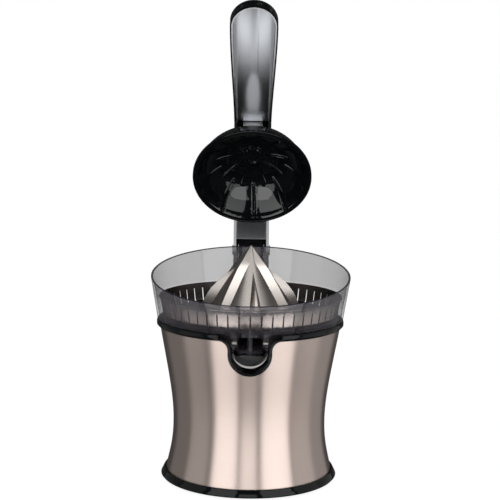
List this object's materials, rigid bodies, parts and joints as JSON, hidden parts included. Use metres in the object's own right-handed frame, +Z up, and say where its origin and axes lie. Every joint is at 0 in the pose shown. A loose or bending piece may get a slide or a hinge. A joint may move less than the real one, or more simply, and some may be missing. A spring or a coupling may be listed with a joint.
{
  "type": "lever citrus juice press",
  "caption": "Electric citrus press with a waisted steel body, clear juice bowl, slotted strainer, turning cone and a hinged lever that lowers a ribbed dome.",
  "frame": {"origin": "on the table under the cone, where the axis of the cone meets the plane of the feet", "axes": "+Z up along the cone, -Y the front with the spout, +X to the right seen from the front"},
  "size_m": [0.1912, 0.2308, 0.4554],
  "materials": {
    "brushed_steel": "vertical brushed stainless steel sheet",
    "satin_steel": "satin finished stainless steel",
    "pressed_steel": "pressed stainless steel, bright",
    "gloss_black": "gloss black moulded plastic",
    "black_casting": "gloss black enamel on a die casting",
    "smoke_clear": "clear moulded plastic with a light smoke tint",
    "bright_trim": "satin chrome plated",
    "panel_metal": "satin metal sheet",
    "black_matte": "matt black moulded plastic",
    "white_nylon": "natural nylon",
    "rubber_black": "matt black rubber",
    "zinc_steel": "zinc plated steel",
    "spring_steel": "bare spring steel",
    "bush_brass": "turned brass"
  },
  "bodies": {
    "body": {"base_ring": "gloss_black", "bottom_plate": "black_matte", "rubber_feet": "rubber_black", "base_screws": "zinc_steel", "steel_sleeve": "brushed_steel", "top_deck": "gloss_black", "cord_gland": "black_matte", "hinge_tower": "black_casting", "tower_screws": "zinc_steel", "hinge_spring": "spring_steel", "juice_bowl": "smoke_clear", "spout_pins": "satin_steel", "strainer": "pressed_steel", "gearbox_plate": "zinc_steel", "journal_bush": "bush_brass", "plate_screws": "zinc_steel", "motor": "zinc_steel", "motor_screws": "zinc_steel", "idler_axle": "satin_steel", "spindle_seal": "rubber_black", "start_switch": "black_matte", "return_spring": "spring_steel"},
    "lever": {"lever_shell": "gloss_black", "lever_trim": "bright_trim", "grip_panel": "panel_metal", "stem_panel": "panel_metal", "hinge_caps": "bright_trim", "hinge_pin": "satin_steel", "dome_carrier": "bright_trim", "dome_pin": "satin_steel"},
    "dome": {"press_dome": "gloss_black"},
    "gear": {"output_gear": "white_nylon"},
    "spindle": {"drive_spindle": "satin_steel", "reamer": "satin_steel", "reamer_hub": "black_matte"},
    "idler": {"idler_gear": "white_nylon"},
    "rotor": {"motor_rotor": "satin_steel"},
    "plunger": {"switch_plunger": "white_nylon"},
    "spout": {"drip_spout": "smoke_clear"}
  },
  "joints": [
    {"name": "lever_hinge", "type": "hinge", "parent": "body", "child": "lever", "pos_m": [0, 0.112, 0.2045], "axis": [1, 0, 0], "range_deg": [0, 48], "stiffness_Nm_per_rad": 0.5, "springref_deg": -91.67},
    {"name": "dome_tilt", "type": "hinge", "parent": "lever", "child": "dome", "pos_m": [0, 0.06818, 0.31049], "axis": [1, 0, 0], "range_deg": [-8, 8]},
    {"name": "gear_spin", "type": "hinge", "parent": "body", "child": "gear", "pos_m": [0, 0, 0.12], "axis": [0, 0, 1], "continuous": true},
    {"name": "press_travel", "type": "slide", "parent": "gear", "child": "spindle", "axis": [0, 0, -1], "range_m": [0, 0.0025], "stiffness_N_per_m": 4000, "springref_m": -0.004, "deforming": ["return_spring"]},
    {"name": "idler_spin", "type": "hinge", "parent": "body", "child": "idler", "pos_m": [-0.04027, 0.02325, 0.11], "axis": [0, 0, 1], "continuous": true},
    {"name": "rotor_spin", "type": "hinge", "parent": "body", "child": "rotor", "pos_m": [-0.03363, -0.00498, 0.1], "axis": [0, 0, 1], "continuous": true},
    {"name": "plunger_travel", "type": "slide", "parent": "body", "child": "plunger", "axis": [0, 0, -1], "range_m": [0, 0.0025]},
    {"name": "spout_tilt", "type": "hinge", "parent": "body", "child": "spout", "pos_m": [0, -0.0845, 0.147], "axis": [-1, 0, 0], "range_deg": [0, 12]}
  ],
  "couplings": [
    {"joint": "idler_spin", "follows": "gear_spin", "ratio": -3.4286},
    {"joint": "rotor_spin", "follows": "gear_spin", "ratio": 13.143},
    {"joint": "plunger_travel", "follows": "press_travel", "ratio": 1}
  ]
}
